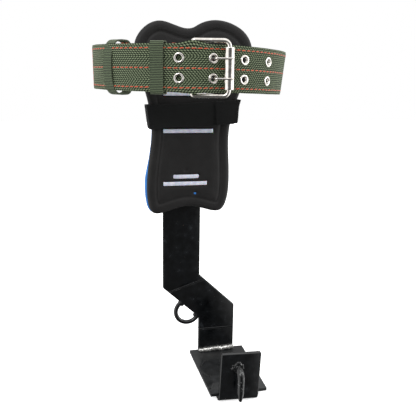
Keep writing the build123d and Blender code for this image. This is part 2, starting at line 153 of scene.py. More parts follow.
def enamel_material(name, deep, hazy, roughness):
    """Dipped gloss enamel on mild steel: a wet black film with orange peel, dust and small chips.
    The dust lies in 9 mm clouds, the peel is 3.5 mm across and the chips about 2 mm."""
    material, tree, shader = new_material(name, IOR=1.5, Specular_IOR_Level=0.55)
    place = add_node(tree, "ShaderNodeTexCoord").outputs["Object"]
    dust = add_node(tree, "ShaderNodeTexNoise", {"Vector": place, "Scale": 1 / (9 * MM), "Detail": 6.0})
    chips = add_node(tree, "ShaderNodeTexNoise", {"Vector": place, "Scale": 1 / (2.2 * MM), "Detail": 3.0})
    film = add_node(
        tree, "ShaderNodeValToRGB", {"Fac": dust.outputs["Fac"]},
        stops=((0.35, deep), (0.62, hazy), (0.8, "#26292c")),
    )
    chipped = add_node(tree, "ShaderNodeMapRange", {"Value": chips.outputs["Fac"], "From Min": 0.76, "From Max": 0.8})
    surface = add_node(
        tree, "ShaderNodeMix",
        {"Factor": chipped.outputs["Result"], "A": film.outputs["Color"], "B": linear("#6a5a4e")},
        data_type="RGBA",
    )
    tree.links.new(surface.outputs["Result"], shader.inputs["Base Color"])
    rough = add_node(tree, "ShaderNodeMapRange", {
        "Value": dust.outputs["Fac"], "From Min": 0.3, "From Max": 0.7,
        "To Min": roughness, "To Max": roughness + 0.14,
    })
    tree.links.new(rough.outputs["Result"], shader.inputs["Roughness"])
    peel = add_node(tree, "ShaderNodeTexNoise", {"Vector": place, "Scale": 1 / (3.5 * MM), "Detail": 2.0})
    bump = add_node(tree, "ShaderNodeBump", {"Height": peel.outputs["Fac"], "Strength": 0.25, "Distance": 0.15 * MM})
    tree.links.new(bump.outputs["Normal"], shader.inputs["Normal"])
    return material


black_enamel = enamel_material("black_gloss_enamel_on_flat_bar", "#060708", "#0c0e10", 0.14)


def enamelled(node, name, edge, enamel):
    """Flat stock with its sawn or sheared edges rounded over by the enamel."""
    flat_stock = copy_of_node(node)
    sharp = math.radians(40)
    finish_modifier(flat_stock, "BEVEL", width=edge, segments=3, limit_method="ANGLE", angle_limit=sharp)
    bpy.ops.object.shade_smooth_by_angle(angle=sharp)
    seat(flat_stock, name, "spur", enamel, [node])


for bar_node in ("shank_upper", "shank_offset", "shank_lower"):
    enamelled(bar_node, bar_node + "_enamelled", 0.7 * MM, black_enamel)


# ---------------------------------------------------------------- welds
# Hand-laid arc welds, each a row of overlapping ripples. The bead at the shank's foot is bright where
# the enamel is thin; the others are black. The two butt seams are ground back to a low rippled band.

random.seed(7)


def worn_steel_material(name, enamel, steel, wear_from, wear_to, roughness):
    """Black enamel worn through to bare steel in patches: dark and glossy, then grey and metallic."""
    material, tree, shader = new_material(name, Roughness=roughness)
    place = add_node(tree, "ShaderNodeTexCoord").outputs["Object"]
    wear = add_node(tree, "ShaderNodeTexNoise", {"Vector": place, "Scale": 1 / (3 * MM), "Detail": 5.0})
    worn = add_node(
        tree, "ShaderNodeMapRange", {"Value": wear.outputs["Fac"], "From Min": wear_from, "From Max": wear_to}
    )
    base = add_node(
        tree, "ShaderNodeValToRGB", {"Fac": worn.outputs["Result"]}, stops=((0.0, enamel), (1.0, steel))
    )
    tree.links.new(base.outputs["Color"], shader.inputs["Base Color"])
    tree.links.new(worn.outputs["Result"], shader.inputs["Metallic"])
    bump = add_node(tree, "ShaderNodeBump", {"Height": wear.outputs["Fac"], "Strength": 0.3, "Distance": 0.3 * MM})
    tree.links.new(bump.outputs["Normal"], shader.inputs["Normal"])
    return material


bright_weld = worn_steel_material("bright_weld_metal_under_thin_enamel", "#1a1b1c", "#d8d7d3", 0.3, 0.52, 0.26)


def weld_bead(start, end, radius, count, flatten=1.0, jitter=0.18):
    """Overlapping lumps from start to end, fused into one rippled bead."""
    lumps = []
    for step in range(count):
        share = step / max(count - 1, 1)
        centre = Vector(start).lerp(Vector(end), share)
        centre += Vector([random.uniform(-jitter, jitter) * radius for _ in range(3)])
        bpy.ops.mesh.primitive_uv_sphere_add(
            segments=14, ring_count=8, radius=radius * random.uniform(0.88, 1.08), location=centre
        )
        lump = bpy.context.object
        lump.scale.y = flatten
        lumps.append(lump)
    pick(*lumps)
    bpy.ops.object.join()
    bead = bpy.context.object
    bpy.ops.object.transform_apply(location=True, rotation=True, scale=True)
    finish_modifier(bead, "REMESH", mode="VOXEL", voxel_size=0.7 * MM)
    finish_modifier(bead, "SMOOTH", factor=0.5, iterations=2)
    bpy.ops.object.shade_smooth()
    return bead


def span(node, axis):
    """Where a CAD node starts and ends along one axis."""
    low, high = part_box(node)
    return low[axis], high[axis]


def middle(node):
    """The middle of a CAD node's box."""
    low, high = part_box(node)
    return [(a + b) / 2 for a, b in zip(low, high)]


foot_low, foot_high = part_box("shank_foot_weld")
foot_line = foot_high[1] - 1.0 * MM
foot_bead = weld_bead(
    (foot_low[0] + 2.4 * MM, foot_line, 2.2 * MM), (foot_high[0] - 2 * MM, foot_line, 3.2 * MM), 3.2 * MM, 30
)
seat(foot_bead, "shank_foot_bead", "spur", bright_weld, ["shank_foot_weld"])

bracket_low, bracket_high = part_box("bracket_welds")
bracket_beads = []
for line_y, line_z, radius in (
    (bracket_low[1] + 0.8 * MM, 1.0 * MM, 2.5 * MM), (bracket_high[1] - 2.6 * MM, -5.0 * MM, 2.3 * MM)
):
    left, right = bracket_low[0] + 2 * MM, bracket_high[0] - 2 * MM
    bracket_beads.append(weld_bead((left, line_y, line_z), (right, line_y, line_z), radius, 20))
pick(*bracket_beads)
bpy.ops.object.join()
seat(bpy.context.object, "bracket_beads", "spur", black_enamel, ["bracket_welds"])

seams = copy_of_node("shank_butt_welds")
finish_modifier(seams, "REMESH", mode="VOXEL", voxel_size=0.6 * MM)
seam_middle = middle("shank_butt_welds")[1]
for vertex in seams.data.vertices:
    ripple = noise.noise(vertex.co * 300) * 0.16 + noise.noise(vertex.co * 90) * 0.2
    vertex.co.y += ripple * MM * (1 if vertex.co.y > seam_middle else -1)
finish_modifier(seams, "SMOOTH", factor=0.5, iterations=2)
bpy.ops.object.shade_smooth()
seat(seams, "shank_seams_dressed", "spur", black_enamel, ["shank_butt_welds"])

ring_low, ring_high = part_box("ring_welds")
ring_across = middle("ring_welds")[1]
ring_inset, half_bead = 4.4 * MM, (1.6 * MM, 1.4 * MM)
ring_beads = []
for end_x, end_z in (
    (ring_low[0] + ring_inset, ring_high[2] - ring_inset), (ring_high[0] - ring_inset, ring_low[2] + ring_inset)
):
    start = (end_x - half_bead[0], ring_across, end_z + half_bead[1])
    end = (end_x + half_bead[0], ring_across, end_z - half_bead[1])
    ring_beads.append(weld_bead(start, end, 3.0 * MM, 5, flatten=0.9, jitter=0.15))
pick(*ring_beads)
bpy.ops.object.join()
seat(bpy.context.object, "ring_beads", "spur", black_enamel, ["ring_welds"])


# ---------------------------------------------------------------- strap ring
# An open ring bent from 6 mm rod and welded under the offset, enamelled with the frame. It takes
# an ankle strap.

ring_node = nodes["strap_ring"]
ring_node.data.materials.clear()
ring_node.data.materials.append(black_enamel)


# ---------------------------------------------------------------- foot plate
# A sheared piece of 4 mm chequered plate with raised lens-shaped bars rolled in. The enamel is
# duller here than on the bar, as boots slide across it.

scuffed_enamel = enamel_material("scuffed_enamel_on_chequered_plate", "#090b0c", "#101214", 0.34)
enamelled("foot_plate", "foot_plate_chequered", 0.5 * MM, scuffed_enamel)


# ---------------------------------------------------------------- claw bracket
# Flat bar bent hot to an L and welded under the plate a little out of square, with a wide bevel
# along its edges that shows as a lighter line.

bracket_enamel = enamel_material("thin_enamel_on_bent_bracket", "#08090a", "#101214", 0.12)
enamelled("claw_bracket", "claw_bracket_enamelled", 0.8 * MM, bracket_enamel)


# ---------------------------------------------------------------- claw
# Round bar bent down and drawn to a point under the hammer, set into a rough rosette of weld. The
# enamel is thin on it, so bare steel glints through in patches.

worn_steel = worn_steel_material("worn_enamel_on_hammered_claw", "#0c0d0e", "#8e8f8f", 0.58, 0.76, 0.12)
claw = copy_of_node("claw")
finish_modifier(claw, "REMESH", mode="VOXEL", voxel_size=0.7 * MM)
finish_modifier(claw, "SMOOTH", factor=0.5, iterations=3)
for vertex in claw.data.vertices:
    vertex.co += vertex.normal * (noise.noise(vertex.co * 70) * 0.8 - 0.1) * MM
bpy.ops.object.shade_smooth()
seat(claw, "claw_hammered", "spur", worn_steel, ["claw"])

root_x, _, root_z = middle("claw_weld")
face_y = span("claw_weld", 1)[1]
lumps = []
for step in range(26):
    turn = step * 2.4
    reach = (4.2 + 3.4 * random.random()) * MM
    size = random.uniform(1.3, 2.3) * MM
    bpy.ops.mesh.primitive_ico_sphere_add(
        subdivisions=2, radius=size,
        location=(root_x + reach * math.cos(turn), face_y - size * 0.4, root_z + reach * math.sin(turn)),
    )
    lumps.append(bpy.context.object)
pick(*lumps)
bpy.ops.object.join()
rosette = bpy.context.object
finish_modifier(rosette, "REMESH", mode="VOXEL", voxel_size=0.5 * MM)
finish_modifier(rosette, "SMOOTH", factor=0.4, iterations=1)
bpy.ops.object.shade_smooth()
seat(rosette, "claw_weld_rosette", "spur", worn_steel, ["claw_weld"])


# ---------------------------------------------------------------- calf pad
# Two layers of closed-cell foam, black over blue, cut to shape and hot pressed: the rim is rolled
# over, a line is pressed in a finger's width inside it, and the foam has closed round the ties.


def foam_material(name, base, light, grain_mm):
    """Closed-cell foam with a hot-pressed skin: matt, with a fine leather-like grain and faint bloom."""
    material, tree, shader = new_material(name, Roughness=0.6, Specular_IOR_Level=0.3, Sheen_Weight=0.04)
    place = add_node(tree, "ShaderNodeTexCoord").outputs["Object"]
    grain = add_node(tree, "ShaderNodeTexVoronoi", {"Vector": place, "Scale": 1 / (grain_mm * MM)})
    cloud = add_node(tree, "ShaderNodeTexNoise", {"Vector": place, "Scale": 1 / (16 * MM), "Detail": 4.0})
    tint = add_node(tree, "ShaderNodeValToRGB", {"Fac": cloud.outputs["Fac"]}, stops=((0.3, base), (0.75, light)))
    tree.links.new(tint.outputs["Color"], shader.inputs["Base Color"])
    bump = add_node(
        tree, "ShaderNodeBump", {"Height": grain.outputs["Distance"], "Strength": 0.35, "Distance": 0.25 * MM}
    )
    tree.links.new(bump.outputs["Normal"], shader.inputs["Normal"])
    return material


black_foam = foam_material("black_pressed_foam_skin", "#121111", "#1b1a1a", 1.1)
blue_foam = foam_material("blue_cut_foam", "#2567b4", "#3c8ad8", 1.6)

tie_nodes = ["cable_tie_1", "cable_tie_2", "cable_tie_3", "cable_tie_4"]
tie_levels = [middle(tie)[2] for tie in tie_nodes]
tie_spans = [span(tie, 0) for tie in tie_nodes]
tie_holes = [(x, level) for (left, right), level in zip(tie_spans, tie_levels) for x in (left, right)]
tie_spans[1] = (tie_spans[1][0] + 13 * MM, tie_spans[1][1] - 8 * MM)    # the second tie is pulled in
blue_nick, pinch = (-38 * MM, 232 * MM), (-50 * MM, 262 * MM)
line_inset, line_half = 12.5 * MM, 1.3 * MM
rim_round = 6 * MM


def rim_tree(node):
    """The pad's outer wall, without its punched holes, to measure the distance from the edge."""
    mesh = nodes[node].data
    points = [vertex.co.copy() for vertex in mesh.vertices]
    walls = []
    for face in mesh.polygons:
        upright = abs(face.normal.y) < 0.5
        near_hole = any(math.dist((face.center.x, face.center.z), hole) < 7 * MM for hole in tie_holes)
        if upright and not near_hole:
            walls.append(tuple(face.vertices))
    return BVHTree.FromPolygons(points, walls)


def smoothstep(low, high, value):
    """0 below low, 1 above high, and an even curve between."""
    share = min(max((value - low) / (high - low), 0.0), 1.0)
    return share * share * (3 - 2 * share)


def pressed_pad(node, voxel, front):
    """A pad layer remeshed, its rim rolled: the front one pressed and dented, the rear one wider below."""
    low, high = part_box(node)
    walls = rim_tree(node)
    half = (high[1] - low[1]) / 2
    centre = (high[1] + low[1]) / 2
    middle_x = (high[0] + low[0]) / 2
    pad = copy_of_node(node)
    foam = [pad]
    for x, z in tie_holes if front else []:
        bpy.ops.mesh.primitive_cylinder_add(
            vertices=24, radius=4.8 * MM, depth=high[1] - low[1], location=(x, (low[1] + high[1]) / 2, z),
            rotation=(math.radians(90), 0, 0),
        )
        foam.append(bpy.context.object)
    pick(*foam)
    bpy.ops.object.join()
    finish_modifier(pad, "REMESH", mode="VOXEL", voxel_size=voxel)
    finish_modifier(pad, "SMOOTH", factor=0.5, iterations=2)
    for vertex in pad.data.vertices:
        co = vertex.co
        _, _, _, gap = walls.find_nearest(Vector((co.x, centre, co.z)))
        across = (co.y - centre) / half
        if gap < rim_round:
            roll = 1 - math.sqrt(max(1 - (1 - gap / rim_round) ** 2, 0.0))
            co.y -= across * half * roll * 0.8
        if front and across < -0.5:
            press = math.exp(-(((gap - line_inset) / line_half) ** 2))
            crown = smoothstep(line_inset, line_inset + 12 * MM, gap)
            co.y += (1.5 * press - 0.9 * crown + 0.6) * MM
            for level, (left, right) in zip(tie_levels, tie_spans):
                inside = smoothstep(left - 4 * MM, left + 2 * MM, co.x)
                inside *= 1 - smoothstep(right - 2 * MM, right + 4 * MM, co.x)
                co.y += 1.7 * MM * inside * math.exp(-(((co.z - level) / (3.4 * MM)) ** 2))
            for x, z in (blue_nick, pinch):
                co.y += 1.6 * MM * math.exp(-(((co.x - x) ** 2 + (co.z - z) ** 2) / (2.6 * MM) ** 2))
        if not front:
            co.x += (middle_x - co.x) * smoothstep(248 * MM, 280 * MM, co.z) * 0.035
            low_part = 1 - smoothstep(248 * MM, 300 * MM, co.z)
            co.x += low_part * ((co.x - middle_x) * 0.022 + 0.6 * MM)
            co.z -= 2.4 * MM * smoothstep(400 * MM, 428 * MM, co.z)
        co.z += 0.05 * (co.x - middle_x) * (1 - smoothstep(214 * MM, 242 * MM, co.z))
        co.z += 0.06 * max(co.x - middle_x, 0) * smoothstep(405 * MM, 435 * MM, co.z)
    finish_modifier(pad, "SMOOTH", factor=0.35, iterations=1)
    bpy.ops.object.shade_smooth()
    return pad


pad_front = pressed_pad("pad_face", 1.6 * MM, True)
seat(pad_front, "calf_pad_front", "spur", black_foam, ["pad_face"])
pad_rear = pressed_pad("pad_backing", 2.0 * MM, False)
seat(pad_rear, "calf_pad_rear", "spur", blue_foam, ["pad_backing"])

nick_depth = span("pad_face", 1)[0] + 1.6 * MM    # where the blue layer shows through a nick in the black one
bpy.ops.mesh.primitive_uv_sphere_add(
    segments=16, ring_count=8, radius=1.9 * MM, location=(blue_nick[0], nick_depth, blue_nick[1])
)
nick = bpy.context.object
nick.scale = (1.2, 0.35, 0.8)
bpy.ops.object.shade_smooth()
seat(nick, "calf_pad_nick", "spur", blue_foam)


# ---------------------------------------------------------------- cable ties
# Moulded nylon ties in natural white. Each is a flat strap with rounded edges, its head a small block
# behind the shank, and a cut tail standing out of it.


def nylon_material():
    """Moulded nylon in its natural white: milky, a little see-through, with a satin skin and fine ribs."""
    material, tree, shader = new_material(
        "natural_white_nylon", Roughness=0.35, Subsurface_Weight=0.25, Subsurface_Scale=0.8 * MM
    )
    place = add_node(tree, "ShaderNodeTexCoord").outputs["Object"]
    cloud = add_node(tree, "ShaderNodeTexNoise", {"Vector": place, "Scale": 1 / (6 * MM), "Detail": 2.0})
    tint = add_node(
        tree, "ShaderNodeValToRGB", {"Fac": cloud.outputs["Fac"]}, stops=((0.3, "#c3c6d8"), (0.7, "#e2e4f0"))
    )
    tree.links.new(tint.outputs["Color"], shader.inputs["Base Color"])
    ribs = add_node(
        tree, "ShaderNodeTexWave", {"Vector": place, "Scale": 1 / (20 * MM), "Distortion": 0.0}, bands_direction="X"
    )
    bump = add_node(tree, "ShaderNodeBump", {"Height": ribs.outputs["Fac"], "Strength": 0.15, "Distance": 0.1 * MM})
    tree.links.new(bump.outputs["Normal"], shader.inputs["Normal"])
    return material


def sink_tie(strap, left, right):
    """Presses the front of a tie into the foam beyond these two places."""
    pick(strap)
    bpy.ops.object.mode_set(mode="EDIT")
    for x in (left - 2 * MM, left + 3 * MM, right - 8 * MM, right + 2 * MM):
        bpy.ops.mesh.select_all(action="SELECT")
        bpy.ops.mesh.bisect(plane_co=(x, 0, 0), plane_no=(1, 0, 0))
    bpy.ops.object.mode_set(mode="OBJECT")
    front = span("cable_tie_2", 1)[0] + 4 * MM
    for vertex in strap.data.vertices:
        co = vertex.co
        if co.y < front:
            co.y += 3.2 * MM * (1 - smoothstep(left - 2 * MM, left + 2 * MM, co.x))
            co.y += 3.2 * MM * smoothstep(right - 7 * MM, right + 1 * MM, co.x)


white_nylon = nylon_material()
for number, tie_node in enumerate(tie_nodes, start=1):
    strap = copy_of_node(tie_node)
    if number == 2:
        sink_tie(strap, *tie_spans[1])
    finish_modifier(strap, "BEVEL", width=0.35 * MM, segments=2, limit_method="ANGLE", angle_limit=math.radians(40))
    tail_place = (middle(tie_node)[0] + 9 * MM + 8 * MM, span(tie_node, 1)[1] - 2.4 * MM, tie_levels[number - 1])
    bpy.ops.mesh.primitive_cube_add(size=1, location=tail_place)
    tail = bpy.context.object
    tail.scale = (9 * MM, 1.1 * MM, 4.2 * MM)
    bpy.ops.object.transform_apply(location=True, rotation=True, scale=True)
    finish_modifier(tail, "BEVEL", width=0.4 * MM, segments=2)
    pick(strap, tail)
    bpy.ops.object.join()
    bpy.ops.object.shade_smooth_by_angle(angle=math.radians(50))
    seat(strap, f"cable_tie_{number}_moulded", "spur", white_nylon, [tie_node])


# ---------------------------------------------------------------- pad band
# A band of 30 mm black woven elastic stretched round the pad's waist and the shank. Its lapped end
# lies over the front and stands off a little at the right.


def elastic_material(name, dark, light, rib_mm):
    """Woven polyester elastic: matt black, with ribs along the band and a little fluff."""
    material, tree, shader = new_material(name, Roughness=0.85, Specular_IOR_Level=0.25, Sheen_Weight=0.02)
    place = add_node(tree, "ShaderNodeTexCoord").outputs["Object"]
    ribs = add_node(
        tree, "ShaderNodeTexWave",
        {"Vector": place, "Scale": 0.314 / (rib_mm * MM), "Distortion": 0.6, "Detail": 2.0, "Detail Scale": 4.0},
        bands_direction="Z",
    )
    fluff = add_node(tree, "ShaderNodeTexNoise", {"Vector": place, "Scale": 1 / (0.8 * MM), "Detail": 3.0})
    blend = add_node(
        tree, "ShaderNodeMix", {"Factor": 0.35, "A": ribs.outputs["Fac"], "B": fluff.outputs["Fac"]}
    )
    tint = add_node(tree, "ShaderNodeValToRGB", {"Fac": blend.outputs["Result"]}, stops=((0.2, dark), (0.8, light)))
    tree.links.new(tint.outputs["Color"], shader.inputs["Base Color"])
    bump = add_node(tree, "ShaderNodeBump", {"Height": blend.outputs["Result"], "Strength": 0.6, "Distance": 0.4 * MM})
    tree.links.new(bump.outputs["Normal"], shader.inputs["Normal"])
    return material


black_elastic = elastic_material("black_woven_elastic", "#080909", "#161717", 1.2)
band = copy_of_node("pad_band")
finish_modifier(band, "REMESH", mode="VOXEL", voxel_size=0.9 * MM)
finish_modifier(band, "SMOOTH", factor=0.5, iterations=4)
bpy.ops.object.shade_smooth()
seat(band, "pad_band_elastic", "spur", black_elastic, ["pad_band"])

band_end = copy_of_node("pad_band_end")
finish_modifier(band_end, "REMESH", mode="VOXEL", voxel_size=0.7 * MM)
end_low, end_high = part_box("pad_band_end")
for vertex in band_end.data.vertices:
    lift = smoothstep(end_low[0], end_high[0], vertex.co.x)
    vertex.co.y += 1.2 * MM * lift * lift
    vertex.co.x -= 0.12 * (end_high[2] - vertex.co.z) * lift
finish_modifier(band_end, "SMOOTH", factor=0.5, iterations=2)
bpy.ops.object.shade_smooth()
seat(band_end, "pad_band_hooked_end", "spur", black_elastic, ["pad_band_end"])


# ---------------------------------------------------------------- belt webbing
# 50 mm webbing woven in herringbone: one strap, folded round the buckle's pivot bar and sewn back.
# It runs round behind the pad to the front, where its tail laps over its own start to the left.

joints = {joint["name"]: joint for joint in frame["record"]["behaviour"]["joints"]}
loop_centre = Vector(joints["keeper_slide"]["pos_m"])
pivot_bar = Vector(joints["buckle_swing"]["pos_m"])
belt_level = loop_centre.z
webbing_low, webbing_high = span("belt_webbing", 2)
webbing_width = webbing_high - webbing_low
webbing_thickness = 2.3 * MM
layer_step = 3.0 * MM
tail_radius = 117.7 * MM
right_radius = 111.7 * MM
main_radius = tail_radius - layer_step
return_radius = main_radius - layer_step
back_y = sum(span("shank_upper", 1)) / 2 - 5.0 * MM
corner_radius = 32 * MM
wrap_radius = 4.0 * MM
return_end, fold_blend = -50, -24
lap_start, lap_end = 12, -11
tail_end = -88


def lap_radius(angle):
    """The outer layer's radius, which grows where the tail climbs over the strap's start."""
    share = smoothstep(-lap_start, -lap_end, -angle)
    return right_radius + (tail_radius - right_radius) * share


def loop_point(angle, radius):
    """A point on the loop in plan; the angle is 0 at the front and grows to the right."""
    turn = math.radians(angle)
    return (loop_centre.x + radius * math.sin(turn), loop_centre.y - radius * math.cos(turn))


def arc(centre, radius, start, end):
    """Points on an arc in plan, about a step for each 1.4 mm; angles as on the loop."""
    count = max(int(abs(end - start) * radius / (0.05 * 1.6)), 8)
    turns = [math.radians(start + (end - start) * i / count) for i in range(count + 1)]
    return [(centre[0] + radius * math.sin(t), centre[1] - radius * math.cos(t)) for t in turns]


def corner(radius, side):
    """Angle where the circle ends, and the centre of the arc that turns to the straight back."""
    forward = loop_centre.y - back_y + corner_radius
    across = math.sqrt((radius - corner_radius) ** 2 - forward ** 2)
    leave = side * math.degrees(math.atan2(across, forward))
    return leave, (loop_centre.x + side * across, loop_centre.y - forward)


def strap_route():
    """The strap's middle line in plan, from the sewn-back end to the tail's end."""
    centre = (loop_centre.x, loop_centre.y)
    main_start = math.degrees(math.asin((pivot_bar.x - loop_centre.x) / main_radius))
    left_leave, left_corner = corner(main_radius, -1)
    right_leave, right_corner = corner(right_radius, 1)
    route = arc(centre, return_radius, return_end, fold_blend)
    route += arc((pivot_bar.x, pivot_bar.y), wrap_radius, 180, 0)
    route += arc(centre, main_radius, main_start, left_leave)
    route += arc(left_corner, corner_radius, left_leave, -180)
    route += arc(right_corner, corner_radius, 180, right_leave)
    route += arc(centre, right_radius, right_leave, lap_start)
    lap_steps = 40
    for i in range(1, lap_steps):
        angle = lap_start + (lap_end - lap_start) * i / lap_steps
        route.append(loop_point(angle, lap_radius(angle)))
    route += arc(centre, tail_radius, lap_end, tail_end)
    return np.array(route)


rough_route = strap_route()
rough_steps = np.hypot(*np.diff(rough_route, axis=0).T)
keep = np.concatenate(([True], rough_steps > 1e-6))
rough_route = rough_route[keep]
rough_length = np.concatenate(([0.0], np.cumsum(np.hypot(*np.diff(rough_route, axis=0).T))))
strap_length = rough_length[-1]
route_steps = 1600
route_at = np.linspace(0, strap_length, route_steps)
route = np.stack([np.interp(route_at, rough_length, rough_route[:, k]) for k in (0, 1)], axis=1)
for _ in range(6):
    route[1:-1] = (route[:-2] + 2 * route[1:-1] + route[2:]) / 4
heading = np.gradient(route, axis=0)
heading /= np.hypot(*heading.T)[:, None]
outward = np.stack([-heading[:, 1], heading[:, 0]], axis=1)


def place_along(angle, radius, first=0.0):
    """Distance along the strap, past first, of the point nearest the given place on the loop."""
    spot = np.array(loop_point(angle, radius))
    gaps = np.hypot(*(route - spot).T)
    gaps[route_at < first] = 1.0
    return route_at[int(np.argmin(gaps))]


def lay_on_loop(piece):
    """Wraps a piece made flat, along X, out along Y and across Z, round the belt's loop."""
    count = len(piece.data.vertices)
    flat = np.empty(count * 3)
    piece.data.vertices.foreach_get("co", flat)
    flat = flat.reshape(-1, 3)
    along, out, across = flat.T
    plan = np.stack([np.interp(along, route_at, route[:, k]) for k in (0, 1)], axis=1)
    normal = np.stack([np.interp(along, route_at, outward[:, k]) for k in (0, 1)], axis=1)
    past_end = np.clip(along - strap_length, 0, None) + np.clip(along, None, 0)
    plan[:, 0] += past_end * np.interp(along, route_at, heading[:, 0])
    plan[:, 1] += past_end * np.interp(along, route_at, heading[:, 1])
    plan += normal * out[:, None]
    side = plan - np.array([loop_centre.x, loop_centre.y])
    distance = np.hypot(*side.T)
    sine = side[:, 0] / distance
    fade = np.clip((loop_centre.y + 8 * MM - plan[:, 1]) / (45 * MM), 0, 1)
    lean = np.where(sine > 0, 0.12, 0.05) * sine ** 2 * fade
    plan += side / distance[:, None] * (lean * across)[:, None]
    drop = 4.6 * MM * np.clip(sine, 0, 1) ** 1.5 * fade
    height = belt_level + across - drop
    piece.data.vertices.foreach_set("co", np.column_stack([plan, height]).ravel())
    piece.data.update()


def webbing_material(name, dark, mid, light):
    """Cotton and nylon herringbone: matt and slightly furry. Its slanting ribs turn back every 12 mm
    across the strap. They are 3.3 mm apart, coarser than the real weave, so that they show. Their grooves
    are darkened with painted shade."""
    material, tree, shader = new_material(
        name, Roughness=0.8, Specular_IOR_Level=0.3, Sheen_Weight=0.35, Sheen_Roughness=0.3
    )
    shader.inputs["Sheen Tint"].default_value = linear("#cfd8bf")
    weave = add_node(tree, "ShaderNodeUVMap", uv_map="UVMap").outputs["UV"]
    split = add_node(tree, "ShaderNodeSeparateXYZ", {"Vector": weave})
    fold = add_node(tree, "ShaderNodeMath", {0: split.outputs["Y"], 1: 12.0}, operation="PINGPONG")
    slant = add_node(tree, "ShaderNodeMath", {0: fold.outputs["Value"], 1: 0.9}, operation="MULTIPLY")
    phase = add_node(tree, "ShaderNodeMath", {0: split.outputs["X"], 1: slant.outputs["Value"]}, operation="ADD")
    turn = add_node(tree, "ShaderNodeMath", {0: phase.outputs["Value"], 1: 2 * math.pi / 3.3}, operation="MULTIPLY")
    rib = add_node(tree, "ShaderNodeMath", {0: turn.outputs["Value"]}, operation="SINE")
    cross_turn = add_node(tree, "ShaderNodeMath", {0: split.outputs["Y"], 1: 2 * math.pi / 2.1}, operation="MULTIPLY")
    thread = add_node(tree, "ShaderNodeMath", {0: cross_turn.outputs["Value"]}, operation="SINE")
    both = add_node(tree, "ShaderNodeMath", {0: rib.outputs["Value"], 1: thread.outputs["Value"]}, operation="ADD")
    height = add_node(tree, "ShaderNodeMapRange", {"Value": both.outputs["Value"], "From Min": -2.0, "From Max": 2.0})
    fluff = add_node(tree, "ShaderNodeTexNoise", {"Vector": weave, "Scale": 1.1, "Detail": 4.0})
    weave_height_and_shade = add_node(
        tree, "ShaderNodeMix", {"Factor": 0.3, "A": height.outputs["Result"], "B": fluff.outputs["Fac"]}
    )
    # The ramp follows the weave's height: the low parts between ribs are painted shade, near black, over the webbing's
    # own green.
    tint = add_node(
        tree, "ShaderNodeValToRGB", {"Fac": weave_height_and_shade.outputs["Result"]}, stops=((0.3, dark), (0.5, mid), (0.74, light))
    )
    tree.links.new(tint.outputs["Color"], shader.inputs["Base Color"])
    bump = add_node(tree, "ShaderNodeBump", {"Height": weave_height_and_shade.outputs["Result"], "Strength": 1.0, "Distance": 0.6 * MM})
    tree.links.new(bump.outputs["Normal"], shader.inputs["Normal"])
    return material


# The first, near-black colour is painted shade for the weave's grooves; the other two are the webbing's own greens.
green_webbing = webbing_material("green_herringbone_webbing", "#0a1107", "#2a3620", "#828e70")


def flat_strip(length, width, thickness, step, rows):
    """A flat length of webbing along X, standing on edge, with its UV in millimetres."""
    bpy.ops.mesh.primitive_grid_add(
        x_subdivisions=int(length / step), y_subdivisions=rows, size=1, location=(length / 2, 0, 0),
        rotation=(math.radians(90), 0, 0),
    )
    strip = bpy.context.object
    strip.scale = (length, width, 1)
    bpy.ops.object.transform_apply(location=True, rotation=True, scale=True)
    layer = strip.data.uv_layers.active or strip.data.uv_layers.new(name="UVMap")
    layer.name = "UVMap"
    for loop in strip.data.loops:
        co = strip.data.vertices[loop.vertex_index].co
        layer.data[loop.index].uv = (co.x / MM, co.z / MM)
    finish_modifier(strip, "SOLIDIFY", thickness=thickness, offset=0)
    return strip


eyelet_angles = (-17.7, 0.0, 18.8, 37.6)
eyelet_rise = 10.25 * MM
tail_first = place_along(80, right_radius, strap_length * 0.4)
eyelet_places = [place_along(angle, lap_radius(angle), tail_first) for angle in eyelet_angles]

belt = flat_strip(strap_length, webbing_width - 0.6 * MM, webbing_thickness, 2.0 * MM, 22)
for vertex in belt.data.vertices:
    edge = abs(vertex.co.z) / (webbing_width / 2)
    vertex.co.y *= 1 - 0.45 * max(edge - 0.9, 0) / 0.1
    wave = noise.noise(Vector((vertex.co.x * 28, 0, vertex.co.z * 14)))
    vertex.co.y += 0.12 * MM * wave
    vertex.co.z += 0.3 * MM * noise.noise(Vector((vertex.co.x * 60, 5, 0))) * edge
fold_at = place_along(-11, lap_radius(-11), tail_first)
for vertex in belt.data.vertices:
    near_fold = math.exp(-(((vertex.co.x - fold_at) / (11 * MM)) ** 2))
    vertex.co.z += 3.4 * MM * near_fold * smoothstep(16 * MM, 25 * MM, vertex.co.z)
    vertex.co.z -= 1.4 * MM * near_fold * smoothstep(16 * MM, 25 * MM, -vertex.co.z)
across_strap = (math.radians(90), 0, 0)    # turns a cylinder or a ring to run through the strap
hole_cutters = []
for place in eyelet_places:
    for side in (-1, 1):
        bpy.ops.mesh.primitive_cylinder_add(
            vertices=24, radius=3.7 * MM, depth=3.2 * MM, location=(place, 0, side * eyelet_rise),
            rotation=across_strap,
        )
        hole_cutters.append(bpy.context.object)
pick(*hole_cutters)
bpy.ops.object.join()
cutter = bpy.context.object
finish_modifier(belt, "BOOLEAN", object=cutter, operation="DIFFERENCE", solver="EXACT")
bpy.data.objects.remove(cutter)
lay_on_loop(belt)
pick(belt)
bpy.ops.object.shade_smooth_by_angle(angle=math.radians(60))
seat(belt, "belt_webbing_woven", "spur", green_webbing, ["belt_webbing"])


# ---------------------------------------------------------------- belt stitching
# Orange-red bonded thread, sewn right through in three lengthwise rows and across the tail's hem, with
# loose turns over the top edge. The stitches are 5.6 mm long and slant a little.


